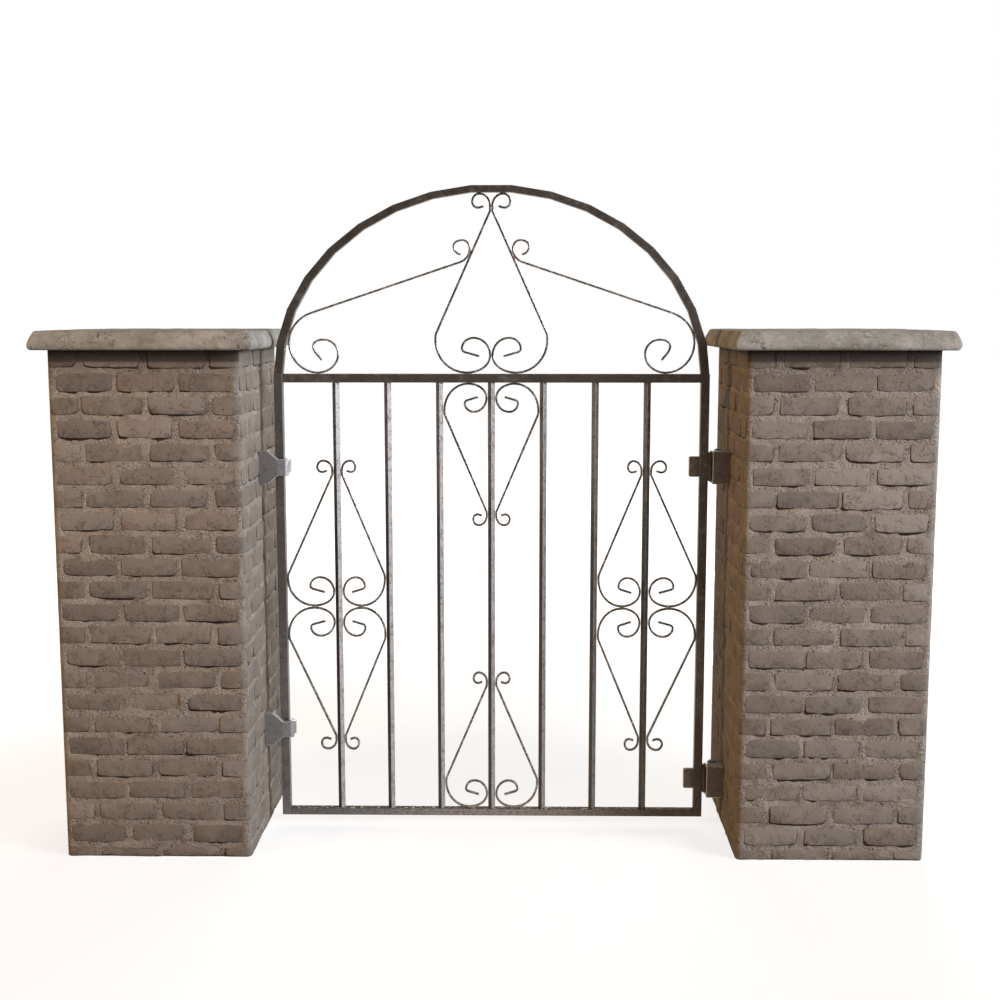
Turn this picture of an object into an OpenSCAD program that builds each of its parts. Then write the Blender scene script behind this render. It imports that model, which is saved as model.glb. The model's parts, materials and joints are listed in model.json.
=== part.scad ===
// Garden gate of iron bar with an arched top and scrollwork, hung between two capped brick piers.
// Millimetres. Origin on the ground, midway between the piers and at their mid depth.
// +X runs along the gate to the hinge side, +Y to the side the gate opens to, +Z up.

/* [Piers] */
// Width of a pier along the gate
pier_w = 500; // [300:5:800]
// Depth of a pier across the gate
pier_depth = 525; // [300:5:800]
// Height of the brickwork
pier_h = 1360; // [1340:5:1500]
// Thickness of a cap slab
cap_t = 52; // [46:1:90]
// How far a cap stands out over the brickwork
cap_overhang = 40; // [15:1:42]
// Depth of the chamfer along a cap's upper edge
cap_chamfer_h = 38; // [6:1:42]
// Width of the chamfer along a cap's upper edge
cap_chamfer_w = 15; // [4:1:30]

/* [Gate leaf] */
// Width of the leaf over both stiles
gate_w = 1200; // [1000:1:1400]
// Gap between the latch stile and its pier
latch_gap = 42; // [36:1:60]
// Gap between the hinge stile and its pier
hinge_gap = 60; // [56:1:72]
// Ground clearance under the leaf
ground_gap = 27; // [15:1:45]
// Height of the leaf from its lower edge to the top of its top rail
leaf_h = 1262; // [1240:1:1300]
// Side of the square frame bar
frame_bar = 24; // [18:0.5:28]
// Height of the bottom rail
low_rail_h = 20; // [16:0.5:26]
// Height of the arch's outer edge above the middle of the top rail
arch_rise = 523; // [490:1:560]
// Thickness of the arch bar at its crown
arch_crown_t = 19; // [14:0.5:24]
// Number of straight mitred lengths in the arch
arch_lengths = 17; // [15:2:25]
// Side of an infill bar, which is set on the diamond
infill_bar = 14.5; // [10:0.5:17]
// Number of infill bars
infill_count = 7; // [7:1:7]
// Distance from a stile's middle to the middle of the first infill bar
end_bay = 158; // [140:1:170]

/* [Scrolls] */
// Side of the scroll rod
rod = 6; // [4:0.1:7]
// Height of each scroll in the centre panel
centre_scroll_h = 401; // [340:1:440]
// Height of each scroll in the side panels
side_scroll_h = 417; // [340:1:430]
// Height above the ground where the side panels' upper and lower scrolls meet
side_meet_z = 634; // [600:1:660]
// Half width of the pair of scrolls in the middle of the arch
arch_centre_half_w = 157; // [130:1:165]
// Height of an arch side scroll
arch_side_h = 366; // [350:1:375]

/* [Hinges and stops] */
// Height of the lower hinge's middle
hinge_low_z = 132; // [110:1:200]
// Height of the upper hinge's middle
hinge_high_z = 1031; // [900:1:1100]
// Height of the lower stop's middle
stop_low_z = 286; // [200:1:400]
// Height of the upper stop's middle
stop_high_z = 1032; // [900:1:1100]
// Height of a bracket where it meets the pier
bracket_h = 92; // [80:1:110]
// Height of a hinge strap's end
neck_h = 58; // [40:1:68]
// Height of a stop bracket's neck
stop_neck_h = 45; // [36:1:56]
// Reach of a stop bracket from the pier before its taper
stop_reach = 24; // [18:1:30]
// Length of the taper from bracket to neck
taper_len = 28; // [18:1:30]
// How far a hinge strap runs on past the stile
neck_past = 27; // [15:1:35]
// Radius of the corners at a hinge strap's end
tab_round = 5; // [3:0.5:8]
// How far a stop bracket runs on past the stile
stop_past = 22; // [19:1:30]
// Distance of the hinge axis from the pier
axis_out = 28; // [26:1:32]
// Distance of the hinge axis behind the leaf's middle
axis_back = 30; // [29:1:34]
// Radius of the hinge knuckle and lugs
knuckle_r = 14; // [12:0.5:15]
// Radius of the hinge pin
pin_r = 6; // [4:0.5:8]
// Thickness of a hinge lug
lug_t = 16; // [10:1:20]
// Thickness of a hinge strap
strap_t = 12; // [8:0.5:12]
// Thickness of a hinge wall plate
plate_t = 6; // [4:0.5:8]
// How far a hinge box stands out in front of the leaf
box_front = 8; // [6:1:12]
// Thickness of a hinge box's cheeks
cheek_t = 6; // [4:0.5:8]
// Gap between the hinge stile and the hinge box
cheek_gap = 11; // [8:1:13]
// Depth of a hinge wall plate across the gate
plate_depth = 64; // [50:1:80]
// Depth of a stop bracket where it meets the pier
stop_depth = 42; // [30:1:60]
// Thickness of a stop bracket's neck
stop_neck_t = 18; // [16:1:28]

/* [Hidden] */

// Colours
brick_colour = "#7d6e63";
stone_colour = "#8f887c";
iron_colour = "#2e2926";
bracket_colour = "#4a4a4b";

// Clearances
cut_over = 1;
touch_gap = 0.2;
pin_gap = 0.05;
knuckle_gap = 0.3;
stop_gap = 5;
arm_gap = 5;
pin_head_h = 3;
pin_head_rim = 3;

// A stop's turned end and the slot along its upper edge
neck_turn = 3;
lip_w = 9;
lip_slope = 6;
lip_rise = 5;
lip_drop = 2;
nose_w = 6;
nose_slope = 4;
nose_below = 3;
nose_above = 10;
slot_front = 7;
slot_w = 5;
slot_deep = 14;

// Smooth round surfaces
$fn = 64;

// The leaf's place
opening_w = gate_w + latch_gap + hinge_gap;
pier_in = opening_w / 2;
leaf_x = -pier_in + latch_gap + gate_w / 2;
leaf_low = ground_gap;
rail_top = ground_gap + leaf_h;
rail_mid = rail_top - frame_bar / 2;
rail_under = rail_top - frame_bar;
low_rail_top = leaf_low + low_rail_h;
stile_in = gate_w / 2 - frame_bar;
bar_corner = infill_bar / sqrt(2);
mid_bar = (infill_count + 1) / 2;
infill_pitch = (gate_w - frame_bar - 2 * end_bay) / (infill_count - 1);
axis_x = pier_in - axis_out;

// A bar's place from the leaf's centre line
function bar_x(i) = (i - mid_bar) * infill_pitch;

// One cubic bow between two stations, each a place and a heading in degrees
function heading(a) = [cos(a), sin(a)];
function place(s) = [s[0], s[1]];
function turn(a, b) = ((b[2] - a[2] + 540) % 360) - 180;
function reach(a, b) = norm(place(b) - place(a)) / (3 * pow(cos(turn(a, b) / 4), 2));
function mix4(p, q, r, s, t) =
    pow(1 - t, 3) * p + 3 * t * pow(1 - t, 2) * q + 3 * t * t * (1 - t) * r + pow(t, 3) * s;
function bow(a, b, n) =
    let (h = reach(a, b))
    [for (k = [1 : n])
        mix4(place(a), place(a) + h * heading(a[2]), place(b) - h * heading(b[2]), place(b), k / n)];
function bows(s, n) =
    [for (i = [0 : len(s) - 1]) each i == 0 ? [place(s[0])] : bow(s[i - 1], s[i], n)];

// Points of a rod's outline on both sides of its centre line
function along(p, i) = p[min(i + 1, len(p) - 1)] - p[max(i - 1, 0)];
function across(p, i) = let (d = along(p, i)) [-d[1], d[0]] / norm(d);
function rod_side(p, w) = [for (i = [0 : len(p) - 1]) p[i] + w / 2 * across(p, i)];
function backwards(p) = [for (i = [len(p) - 1 : -1 : 0]) p[i]];
function rod_outline(p, w) = concat(rod_side(p, w), backwards(rod_side(p, -w)));

// Stations of an upright scroll: shares of its width and height, and the heading there.
// The small curl runs down to the bar, the bulge runs round to the inner curl and its tail.
curl_shares = [
    [0.11, 0.931, -10], [0.219, 0.9228, 0], [0.322, 0.956, 90], [0.194, 1, 180],
    [0, 0.9355, 270], [0, 0.905, 270]
];
bulge_shares = [
    [0.981, 0.2253, 0], [1, 0.183, 270], [0.435, 0, 180], [0, 0.099, 90],
    [0.303, 0.197, 0], [0.517, 0.136, 270], [0.43, 0.113, 193], [0.2, 0.094, 190]
];

// The same for an arch side scroll, whose straight run lies low
side_curl_shares = [
    [0.049, 0.894, 0], [0.0885, 0.9538, 90], [0.0396, 1, 180], [0, 0.9346, 270],
    [0.0534, 0.8353, 0]
];
side_bulge_shares = [
    [0.8756, 0.4536, 0], [1, 0.2254, 270], [0.8439, 0, 180], [0.7293, 0.142, 90],
    [0.808, 0.2514, 0], [0.8673, 0.2005, 270], [0.8208, 0.0941, 238]
];

// Steps in each bow
bow_steps = 8;

// Distance of a scroll's centre line from the face it touches
scroll_edge = rod / 2 + touch_gap;

// Stations at their real size
function sized(shares, w, h) = [for (s = shares) [s[0] * w, s[1] * h, s[2]]];
function run_heading(a, b) = atan2(b[1] - a[1], b[0] - a[0]);
function headed(s, a) = [s[0], s[1], a];
function with_first(s, a) = [for (i = [0 : len(s) - 1]) i == 0 ? headed(s[0], a) : s[i]];
function with_last(s, a) =
    [for (i = [0 : len(s) - 1]) i == len(s) - 1 ? headed(s[i], a) : s[i]];
function scroll_path(curl, bulge, w, h, smooth) =
    let (c = sized(curl, w, h))
    let (b = sized(bulge, w, h))
    let (a = run_heading(c[len(c) - 1], b[0]))
    concat(bows(smooth ? with_last(c, a) : c, bow_steps), bows(with_first(b, a), bow_steps));

// A rod in the leaf's middle plane, from a path in X and Z
module rod_along(path) {
    color(iron_colour)
    rotate([90, 0, 0])
    linear_extrude(height = rod, center = true)
    polygon(rod_outline(path, rod));
}

// A scroll between two upright faces: it starts at near_x, reaches to far_x and fills low_z to high_z.
// curl_up says which end the small curl is at.
module scroll(near_x, far_x, low_z, high_z, curl_up, curl, bulge, smooth) {
    side = sign(far_x - near_x);
    w = abs(far_x - near_x) - 2 * scroll_edge;
    h = high_z - low_z - 2 * scroll_edge;
    path = scroll_path(curl, bulge, w, h, smooth);
    rod_along([
        for (p = path)
        [
            leaf_x + near_x + side * (scroll_edge + p[0]),
            curl_up ? low_z + scroll_edge + p[1] : high_z - scroll_edge - p[1]
        ]
    ]);
}

module upright_scroll(near_x, far_x, low_z, high_z, curl_up) {
    scroll(near_x, far_x, low_z, high_z, curl_up, curl_shares, bulge_shares, false);
}

// Scrolls in the centre panel, beside the middle bar
module centre_scroll(side, upper) {
    near_x = side * bar_corner;
    far_x = side * (infill_pitch - bar_corner);
    low_z = upper ? rail_under - centre_scroll_h : low_rail_top;
    upright_scroll(near_x, far_x, low_z, low_z + centre_scroll_h, !upper);
}

// Scrolls in a side panel, on the outer or inner side of its first bar
module side_scroll(side, outer, upper) {
    bar = side * bar_x(infill_count);
    near_x = outer ? bar + side * bar_corner : bar - side * bar_corner;
    far_x = outer ? side * stile_in : bar - side * (infill_pitch - bar_corner);
    low_z = upper ? side_meet_z : side_meet_z - side_scroll_h;
    upright_scroll(near_x, far_x, low_z, low_z + side_scroll_h, upper);
}

// Points of the arch at one parametric angle
arch_step = 180 / arch_lengths;
arch_in_w = gate_w / 2 - frame_bar;
arch_in_h = arch_rise - arch_crown_t;
function arch_point(w, h, i) = [w * cos(i * arch_step), h * sin(i * arch_step)];
function arch_edge(w, h) = [for (i = [0 : arch_lengths]) arch_point(w, h, i)];
crown_under = rail_mid + arch_point(arch_in_w, arch_in_h, floor(arch_lengths / 2))[1];

// Half width of the arch's clear inside at a height, within the flats of its lengths
flat_share = cos(arch_step / 2);
function arch_clear(z) =
    flat_share * arch_in_w * sqrt(1 - pow((z - rail_mid) / (flat_share * arch_in_h), 2));

// Place of the centre pair's straight run at a height
centre_w = arch_centre_half_w - 2 * scroll_edge;
centre_h = crown_under - rail_top - 2 * scroll_edge;
centre_curl = sized(curl_shares, centre_w, centre_h);
centre_bulge = sized(bulge_shares, centre_w, centre_h);
run_top = place(centre_curl[len(centre_curl) - 1]);
run_low = place(centre_bulge[0]);
function run_x(z) =
    let (t = (rail_top + scroll_edge + run_top[1] - z) / (run_top[1] - run_low[1]))
    scroll_edge + run_top[0] + t * (run_low[0] - run_top[0]);

// Where a side scroll's curl meets that run, and where its shoulder meets the arch
curl_touch_share = 0.9;
curl_back_share = 0.0015;
shoulder_share = 0.31;
shoulder_in_share = 0.0095;
curl_touch_x = run_x(rail_top + curl_touch_share * arch_side_h) + scroll_edge;
shoulder_x = arch_clear(rail_top + shoulder_share * arch_side_h);
side_near_x = curl_touch_x - curl_back_share * arch_in_w;
side_far_x = (shoulder_x - shoulder_in_share * side_near_x) / (1 - shoulder_in_share);

// Scrolls under the arch
module arch_centre_scroll(side) {
    upright_scroll(0, side * arch_centre_half_w, rail_top, crown_under, true);
}

module arch_side_scroll(side) {
    scroll(
        side * side_near_x, side * side_far_x, rail_top, rail_top + arch_side_h, true,
        side_curl_shares, side_bulge_shares, true
    );
}

// Frame of the leaf
module stile(side) {
    color(iron_colour)
    translate([leaf_x + side * (gate_w - frame_bar) / 2, 0, leaf_low + leaf_h / 2])
    cube([frame_bar, frame_bar, leaf_h], center = true);
}

module rail(low, high) {
    color(iron_colour)
    translate([leaf_x, 0, (low + high) / 2])
    cube([2 * stile_in, frame_bar, high - low], center = true);
}

module arch_bar() {
    color(iron_colour)
    intersection() {
        translate([leaf_x, 0, rail_mid])
        rotate([90, 0, 0])
        linear_extrude(height = frame_bar, center = true)
        polygon(concat(arch_edge(gate_w / 2, arch_rise), backwards(arch_edge(arch_in_w, arch_in_h))));
        translate([leaf_x - gate_w, -frame_bar, rail_top])
        cube([2 * gate_w, 2 * frame_bar, arch_rise]);
    }
}

module infill(i) {
    color(iron_colour)
    translate([leaf_x + bar_x(i), 0, low_rail_top])
    cylinder(r = bar_corner, h = rail_under - low_rail_top, $fn = 4);
}

// Piers and caps
module pier(side) {
    color(brick_colour)
    translate([side * (pier_in + pier_w / 2), 0, pier_h / 2])
    cube([pier_w, pier_depth, pier_h], center = true);
}

module cap_profile(w) {
    polygon([
        [-w / 2, 0], [w / 2, 0], [w / 2, cap_t - cap_chamfer_h], [w / 2 - cap_chamfer_w, cap_t],
        [cap_chamfer_w - w / 2, cap_t], [-w / 2, cap_t - cap_chamfer_h]
    ]);
}

module cap(side) {
    w = pier_w + 2 * cap_overhang;
    d = pier_depth + 2 * cap_overhang;
    color(stone_colour)
    translate([side * (pier_in + pier_w / 2), 0, pier_h])
    intersection() {
        rotate([90, 0, 0])
        linear_extrude(height = d, center = true)
        cap_profile(w);
        rotate([90, 0, 90])
        linear_extrude(height = w, center = true)
        cap_profile(d);
    }
}

// Hinges on the right pier, each in a box that is open at its back
cheek_x = leaf_x + gate_w / 2 + cheek_gap;
cheek_back = frame_bar / 2 - arm_gap;
box_y = -frame_bar / 2 - box_front;

module lug(low) {
    difference() {
        union() {
            translate([axis_x, axis_back, low])
            cylinder(r = knuckle_r, h = lug_t);
            translate([axis_x, axis_back, low])
            cube([axis_out, knuckle_r, lug_t]);
            translate([axis_x - knuckle_r, box_y, low])
            cube([axis_out + knuckle_r, axis_back - box_y, lug_t]);
            translate([cheek_x, box_y, low])
            cube([pier_in - cheek_x, cheek_back - box_y, lug_t]);
        }
        translate([axis_x, axis_back, low - cut_over])
        cylinder(r = pin_r, h = lug_t + 2 * cut_over);
    }
}

module hinge_bracket(z) {
    color(bracket_colour)
    union() {
        translate([pier_in - plate_t, box_y, z - bracket_h / 2])
        cube([plate_t, plate_depth, bracket_h]);
        translate([cheek_x, box_y, z - bracket_h / 2])
        cube([pier_in - cheek_x, cheek_t, bracket_h]);
        translate([cheek_x, box_y, z - bracket_h / 2])
        cube([cheek_t, cheek_back - box_y, bracket_h]);
        lug(z - bracket_h / 2);
        lug(z + bracket_h / 2 - lug_t);
    }
}

module hinge_pin(z) {
    color(bracket_colour)
    translate([axis_x, axis_back, z - bracket_h / 2])
    union() {
        cylinder(r = pin_r, h = bracket_h);
        translate([0, 0, bracket_h])
        cylinder(r = pin_r + pin_head_rim, h = pin_head_h);
    }
}

// Outline in X and Z of a strap's taper and rounded end, from x = 0 towards -X
module strap_outline(end_len) {
    polygon([
        [0, -bracket_h / 2], [0, bracket_h / 2], [-taper_len, neck_h / 2], [-taper_len, -neck_h / 2]
    ]);
    translate([-taper_len, 0]) {
        for (side = [-1, 1])
        translate([tab_round - end_len, side * (neck_h / 2 - tab_round)])
        circle(r = tab_round);
        translate([-end_len, tab_round - neck_h / 2])
        square([end_len, neck_h - 2 * tab_round]);
        translate([tab_round - end_len, -neck_h / 2])
        square([end_len - tab_round, neck_h]);
    }
}

// Strap behind the hinge stile, with the knuckle between the lugs
module hinge_strap(z) {
    taper_x = axis_x - knuckle_r - arm_gap;
    end_x = leaf_x + stile_in - neck_past;
    knuckle_h = bracket_h - 2 * lug_t - 2 * knuckle_gap;
    color(bracket_colour)
    translate([0, 0, z])
    difference() {
        union() {
            translate([taper_x, frame_bar / 2 + strap_t, 0])
            rotate([90, 0, 0])
            linear_extrude(height = strap_t)
            strap_outline(taper_x - taper_len - end_x);
            translate([taper_x, frame_bar / 2, -knuckle_h / 2])
            cube([knuckle_r + arm_gap, strap_t, knuckle_h]);
            translate([axis_x, axis_back, -knuckle_h / 2])
            cylinder(r = knuckle_r, h = knuckle_h);
        }
        translate([axis_x, axis_back, -knuckle_h / 2 - cut_over])
        cylinder(r = pin_r + pin_gap, h = knuckle_h + 2 * cut_over);
    }
}

// Outline in X and Z of a stop's box and taper, from the pier towards +X
module stop_outline() {
    taper_end = stop_reach + taper_len;
    polygon([
        [0, -bracket_h / 2], [0, bracket_h / 2], [stop_reach, bracket_h / 2],
        [taper_end, stop_neck_h / 2], [taper_end, -stop_neck_h / 2], [stop_reach, -bracket_h / 2]
    ]);
}

// One upright length of a stop's turned end, its front running back from near_y to far_y
module turned_length(near_x, far_x, near_y, far_y, back_y, low, high) {
    translate([0, 0, low])
    linear_extrude(height = high - low)
    polygon([[near_x, near_y], [far_x, far_y], [far_x, back_y], [near_x, back_y]]);
}

// Stop on the left pier, in front of the latch stile, with a raised lip at its end
module stop_bracket(z) {
    back_y = -frame_bar / 2 - stop_gap;
    front_y = back_y - stop_neck_t;
    neck_y = front_y + neck_turn;
    lip_y = neck_y + lip_slope;
    neck_x = -pier_in + stop_reach + taper_len;
    end_x = leaf_x - stile_in + stop_past;
    nose_x = end_x - nose_w;
    lip_x = nose_x - lip_w;
    half_h = stop_neck_h / 2;
    color(bracket_colour)
    translate([0, 0, z])
    union() {
        difference() {
            union() {
                translate([-pier_in, front_y, -bracket_h / 2])
                cube([stop_reach, stop_depth, bracket_h]);
                translate([-pier_in, back_y, 0])
                rotate([90, 0, 0])
                linear_extrude(height = stop_neck_t)
                stop_outline();
            }
            translate([-pier_in, front_y + slot_front + slot_w, 0])
            rotate([90, 0, 0])
            linear_extrude(height = slot_w)
            difference() {
                translate([0, cut_over])
                stop_outline();
                translate([0, -slot_deep])
                stop_outline();
            }
        }
        turned_length(neck_x, lip_x, front_y, neck_y, back_y, -half_h, half_h);
        turned_length(lip_x, nose_x, neck_y, lip_y, back_y, -half_h - lip_drop, half_h + lip_rise);
        turned_length(
            nose_x, end_x, lip_y, lip_y + nose_slope, back_y,
            -half_h - lip_drop + nose_above, half_h + lip_rise - nose_below
        );
    }
}

pier(-1);  // left_pier
pier(1);  // right_pier
cap(-1);  // left_cap
cap(1);  // right_cap
stop_bracket(stop_low_z);  // lower_stop_bracket
stop_bracket(stop_high_z);  // upper_stop_bracket
hinge_bracket(hinge_low_z);  // lower_hinge_bracket
hinge_bracket(hinge_high_z);  // upper_hinge_bracket
hinge_pin(hinge_low_z);  // lower_hinge_pin
hinge_pin(hinge_high_z);  // upper_hinge_pin
stile(-1);  // latch_stile
stile(1);  // hinge_stile
rail(leaf_low, low_rail_top);  // bottom_rail
rail(rail_under, rail_top);  // top_rail
arch_bar();
infill(1);  // bar_1
infill(2);  // bar_2
infill(3);  // bar_3
infill(4);  // bar_4
infill(5);  // bar_5
infill(6);  // bar_6
infill(7);  // bar_7
arch_centre_scroll(-1);  // arch_centre_scroll_left
arch_centre_scroll(1);  // arch_centre_scroll_right
arch_side_scroll(-1);  // arch_side_scroll_left
arch_side_scroll(1);  // arch_side_scroll_right
centre_scroll(-1, true);  // centre_upper_scroll_left
centre_scroll(1, true);  // centre_upper_scroll_right
centre_scroll(-1, false);  // centre_lower_scroll_left
centre_scroll(1, false);  // centre_lower_scroll_right
side_scroll(-1, true, true);  // left_upper_scroll_outer
side_scroll(-1, false, true);  // left_upper_scroll_inner
side_scroll(-1, true, false);  // left_lower_scroll_outer
side_scroll(-1, false, false);  // left_lower_scroll_inner
side_scroll(1, true, true);  // right_upper_scroll_outer
side_scroll(1, false, true);  // right_upper_scroll_inner
side_scroll(1, true, false);  // right_lower_scroll_outer
side_scroll(1, false, false);  // right_lower_scroll_inner
hinge_strap(hinge_low_z);  // lower_hinge_strap
hinge_strap(hinge_high_z);  // upper_hinge_strap
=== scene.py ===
import json
import math
import random

import bmesh
import bpy
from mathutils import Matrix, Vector, noise
from mathutils.bvhtree import BVHTree

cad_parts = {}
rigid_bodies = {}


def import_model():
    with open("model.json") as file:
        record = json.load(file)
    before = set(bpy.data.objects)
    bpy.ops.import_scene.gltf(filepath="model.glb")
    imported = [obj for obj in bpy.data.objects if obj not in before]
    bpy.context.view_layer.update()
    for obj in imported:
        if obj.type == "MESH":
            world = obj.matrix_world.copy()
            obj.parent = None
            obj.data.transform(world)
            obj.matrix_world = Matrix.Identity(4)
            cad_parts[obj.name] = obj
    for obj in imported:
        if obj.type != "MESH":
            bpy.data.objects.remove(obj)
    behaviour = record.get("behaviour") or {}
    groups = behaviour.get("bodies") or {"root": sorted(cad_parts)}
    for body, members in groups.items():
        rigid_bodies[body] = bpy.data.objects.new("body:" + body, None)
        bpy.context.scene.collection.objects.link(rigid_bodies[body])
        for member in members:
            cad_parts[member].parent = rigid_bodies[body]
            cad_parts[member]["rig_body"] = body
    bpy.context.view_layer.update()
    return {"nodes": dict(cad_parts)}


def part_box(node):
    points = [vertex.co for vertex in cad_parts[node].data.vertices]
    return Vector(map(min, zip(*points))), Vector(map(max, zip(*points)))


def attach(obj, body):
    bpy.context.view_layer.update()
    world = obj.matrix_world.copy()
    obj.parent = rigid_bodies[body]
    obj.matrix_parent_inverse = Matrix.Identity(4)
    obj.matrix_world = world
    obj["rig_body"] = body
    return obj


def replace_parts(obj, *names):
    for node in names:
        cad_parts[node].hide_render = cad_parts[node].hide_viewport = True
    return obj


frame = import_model()
nodes = frame["nodes"]
scene = bpy.context.scene
scene.view_settings.view_transform = "Standard"
print("frame loaded,", len(nodes), "nodes")


# small helpers for shader trees
def rgb(colour):
    return (*colour, 1.0)


def feed(tree, made, inputs):
    for key, value in inputs.items():
        socket = made.inputs[key]
        if isinstance(value, bpy.types.NodeSocket):
            tree.links.new(value, socket)
        else:
            socket.default_value = rgb(value) if socket.type == "RGBA" else value


def addNode(tree, kind, inputs=None, **settings):
    made = tree.nodes.new("ShaderNode" + kind)
    for key, value in settings.items():
        setattr(made, key, value)
    feed(tree, made, inputs or {})
    return made


def maths(tree, way, first, *others, clamp=False):
    for other in others:
        made = addNode(tree, "Math", {0: first, 1: other}, operation=way, use_clamp=clamp)
        first = made.outputs[0]
    return first


def times(tree, *values):
    return maths(tree, "MULTIPLY", *values)


def plus(tree, *values):
    return maths(tree, "ADD", *values)


def minus(tree, *values):
    return maths(tree, "SUBTRACT", *values)


def larger(tree, *values):
    return maths(tree, "MAXIMUM", *values)


def sizeOf(tree, value):
    return maths(tree, "ABSOLUTE", value, 0.0)


# the second colour over the first, by the product of the shares
def mix(tree, first, second, *shares):
    inputs = {0: times(tree, *shares), 6: first, 7: second}
    return addNode(tree, "Mix", inputs, data_type="RGBA").outputs[2]


def blend(tree, first, second, shares):
    return plus(tree, times(tree, first, shares[0]), times(tree, second, shares[1]))


def ramp(tree, value, low, high, outLow=0.0, outHigh=1.0):
    return addNode(
        tree, "MapRange",
        {"Value": value, "From Min": low, "From Max": high, "To Min": outLow, "To Max": outHigh},
        interpolation_type="SMOOTHSTEP",
    ).outputs[0]


def noiseAt(tree, place, scale, detail=4.0, roughness=0.55, distortion=0.0):
    return addNode(
        tree, "TexNoise",
        {"Vector": place, "Scale": scale, "Detail": detail, "Roughness": roughness,
         "Distortion": distortion},
    ).outputs["Fac"]


# noise at a place, sharpened to a mask
def noiseMask(tree, place, look, name):
    return ramp(tree, noiseAt(tree, place, *look[name + "Noise"]), *look[name + "At"])


def cellsAt(tree, place, scale, **settings):
    return addNode(tree, "TexVoronoi", {"Vector": place, "Scale": scale}, **settings).outputs


# how far a noise lies from its middle, near 0 along thin winding lines
def lineNoise(tree, place, *settings):
    return sizeOf(tree, minus(tree, noiseAt(tree, place, *settings), 0.5))


def attribute(tree, name):
    return addNode(tree, "Attribute", attribute_name=name).outputs["Fac"]


def axes(tree, vector):
    return addNode(tree, "SeparateXYZ", {0: vector}).outputs


def normalAxes(tree):
    return axes(tree, addNode(tree, "NewGeometry").outputs["Normal"])


# 1 on the front and back of a pier, 0 on its two sides
def facingFront(tree):
    return sizeOf(tree, normalAxes(tree)[1])


# a place pushed about by noise, so that cells lose their straight sides
def bentPlace(tree, place, scale, detail, reach):
    swirl = addNode(tree, "TexNoise", {"Vector": place, "Scale": scale, "Detail": detail}).outputs
    shift = addNode(tree, "VectorMath", {0: swirl["Color"], "Scale": reach}, operation="SCALE")
    moved = addNode(tree, "VectorMath", {0: place, 1: shift.outputs[0]}, operation="ADD")
    return moved.outputs[0]


# rays from the camera, and those with what it sees mirrored or through glass
def raysSeen(tree):
    rays = addNode(tree, "LightPath").outputs
    straight = rays["Is Camera Ray"]
    return straight, larger(tree, straight, rays["Is Glossy Ray"], rays["Is Transmission Ray"])


def newGroup(name, inputs, outputs):
    group = bpy.data.node_groups.new(name, "ShaderNodeTree")
    for way, sockets in (("INPUT", inputs), ("OUTPUT", outputs)):
        for kind, labels in sockets.items():
            for label in labels:
                group.interface.new_socket(label, in_out=way, socket_type="NodeSocket" + kind)
    given, out = (group.nodes.new("NodeGroup" + way) for way in ("Input", "Output"))
    return group, given.outputs, out


def newMaterial(name):
    material = bpy.data.materials.new(name)
    material.use_nodes = True
    tree = material.node_tree
    tree.nodes.clear()
    shader = addNode(tree, "BsdfPrincipled")
    addNode(tree, "OutputMaterial", {"Surface": shader.outputs[0]})
    place = addNode(tree, "TexCoord").outputs["Object"]
    return material, tree, shader, place


# a skin group in a material, with the values of its look
def addSkin(tree, group, place, look, **marks):
    skin = addNode(tree, "Group", {"place": place, **marks}, node_tree=group)
    feed(tree, skin, {s.name: look[s.name] for s in skin.inputs if s.name in look})
    return skin.outputs


def bumpFrom(tree, height, look):
    sizes = {"Height": height, "Strength": look["bump"], "Distance": look["deep"]}
    return addNode(tree, "Bump", sizes).outputs[0]


# masonry skin: mottled colour, grit and pits, used by brick, mortar and cap
masonryBuild = {
    "patches": (5.0, 0.6, 0.4), "paleAt": (0.5, 0.74), "darkAt": (0.46, 0.26),
    "streakScale": 4.3, "streaks": (4.0, 0.62), "streakAt": (0.56, 0.75), "streakShare": 0.4,
    "streakHeight": 0.9, "roughAt": (0.3, 0.7, 0.98, 0.84),
    "grit": (3.0, 0.7), "darkGrit": ((0.5, 0.3), 0.55), "paleGrit": ((0.54, 0.74), 0.5),
    "pitScale": 0.45, "pitAt": (0.34, 0.12), "pitColour": (0.045, 0.036, 0.03),
    "pitShare": 0.75, "pitDepth": 0.8,
    "driftScale": 2.1, "driftDetail": 2.0, "driftAt": (0.46, 0.62),
}


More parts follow.
